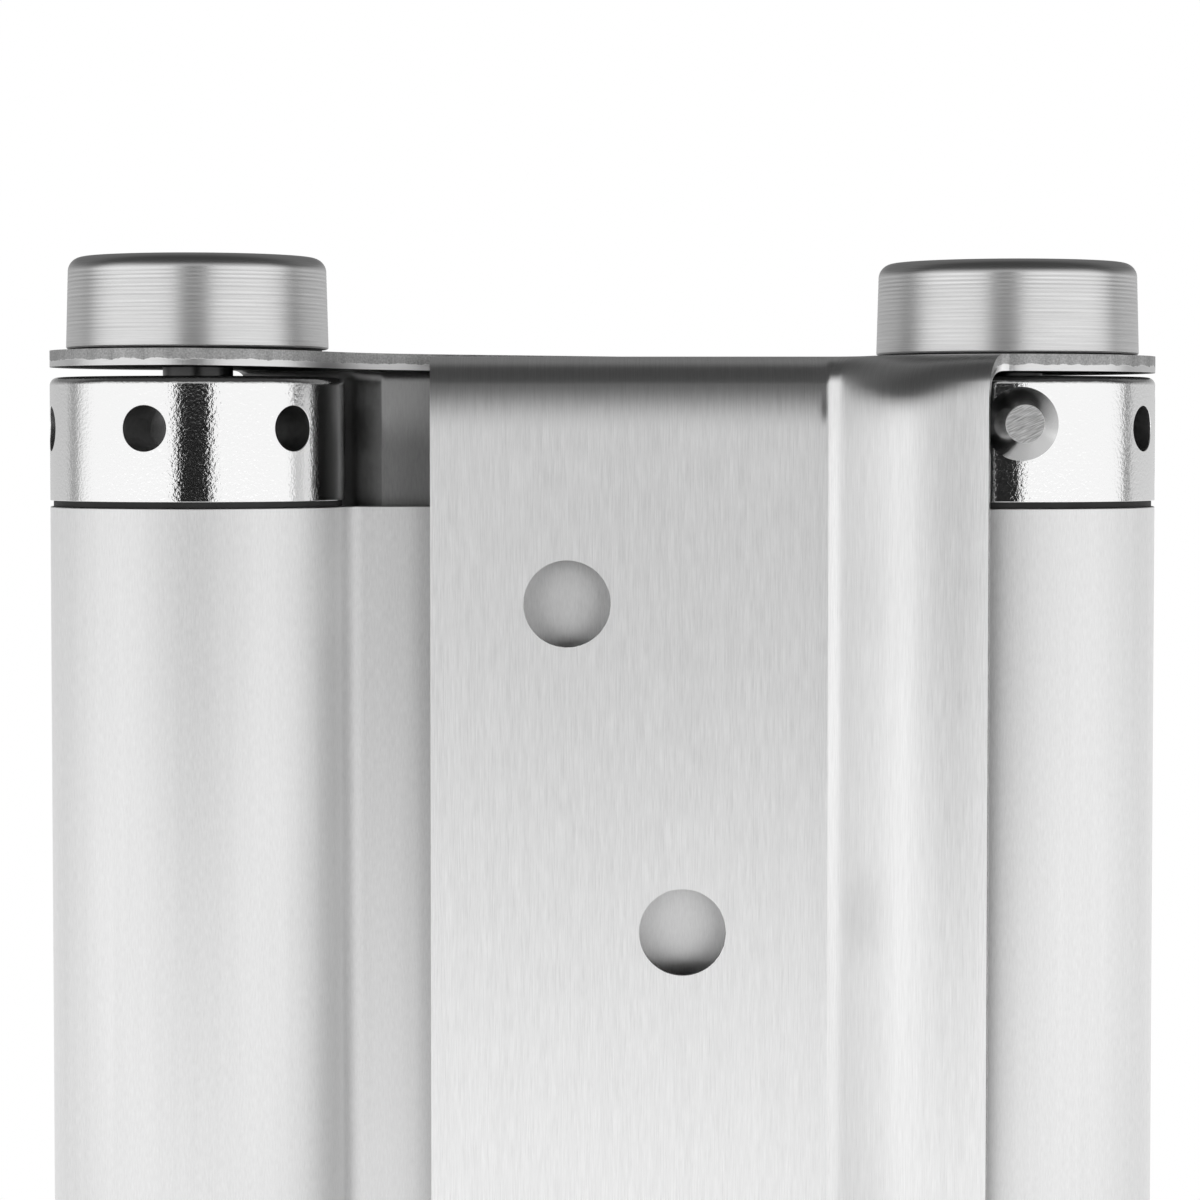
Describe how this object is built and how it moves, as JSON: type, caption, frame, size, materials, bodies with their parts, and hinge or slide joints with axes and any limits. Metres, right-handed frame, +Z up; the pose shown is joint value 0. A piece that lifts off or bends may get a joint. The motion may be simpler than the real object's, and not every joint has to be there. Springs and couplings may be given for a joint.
{
  "type": "double action cafe hinge",
  "caption": "Double action spring hinge for a swing door: sprung barrels rolled from a single sheet, folded leaves, chromed tension collars with winding holes, and button caps.",
  "frame": {"origin": "midway between the two barrel axes, at mid-height", "axes": "+Z up along the barrels, +X from the left barrel to the right one, -Y the way the front leaf faces"},
  "size_m": [0.0676, 0.0222, 0.1118],
  "materials": {
    "brushed_leaf": "stainless sheet, fine vertical brushing",
    "satin_barrel": "stainless sheet, satin rolled",
    "chromed_collar": "turned steel, bright chrome plate",
    "polished_pin": "turned steel, polished",
    "turned_cap": "turned stainless, fine tool marks",
    "oiled_steel": "plain steel, oiled"
  },
  "bodies": {
    "jamb_leaf": {"back_leaf": "brushed_leaf", "left_spindle": "oiled_steel", "left_top_cap": "turned_cap", "left_bottom_cap": "turned_cap", "left_thrust_washer": "oiled_steel"},
    "barrels": {"barrel_web": "satin_barrel", "left_anchor_collar": "chromed_collar", "right_anchor_collar": "chromed_collar", "left_torsion_spring": "oiled_steel", "right_torsion_spring": "oiled_steel", "left_anchor_rivet": "polished_pin", "right_anchor_rivet": "polished_pin"},
    "door_leaf": {"front_leaf": "brushed_leaf", "right_spindle": "oiled_steel", "right_top_cap": "turned_cap", "right_bottom_cap": "turned_cap", "right_thrust_washer": "oiled_steel"},
    "left_tension": {"left_tension_collar": "chromed_collar", "left_tension_pin": "polished_pin"},
    "right_tension": {"right_tension_collar": "chromed_collar", "right_tension_pin": "polished_pin"}
  },
  "joints": [
    {"name": "jamb_swing", "type": "hinge", "parent": "jamb_leaf", "child": "barrels", "pos_m": [-0.0248, 0, 0], "axis": [0, 0, -1], "range_deg": [0, 180], "stiffness_Nm_per_rad": 0.8, "deforming": ["left_torsion_spring"]},
    {"name": "door_swing", "type": "hinge", "parent": "barrels", "child": "door_leaf", "pos_m": [0.0248, 0, 0], "axis": [0, 0, 1], "range_deg": [0, 180], "stiffness_Nm_per_rad": 0.8, "deforming": ["right_torsion_spring"]},
    {"name": "left_tension_wind", "type": "hinge", "parent": "jamb_leaf", "child": "left_tension", "pos_m": [-0.0248, 0, 0], "axis": [0, 0, 1], "range_deg": [-45, 135], "stiffness_Nm_per_rad": 0.05},
    {"name": "right_tension_wind", "type": "hinge", "parent": "door_leaf", "child": "right_tension", "pos_m": [0.0248, 0, 0], "axis": [0, 0, 1], "range_deg": [0, 180], "stiffness_Nm_per_rad": 0.05}
  ]
}
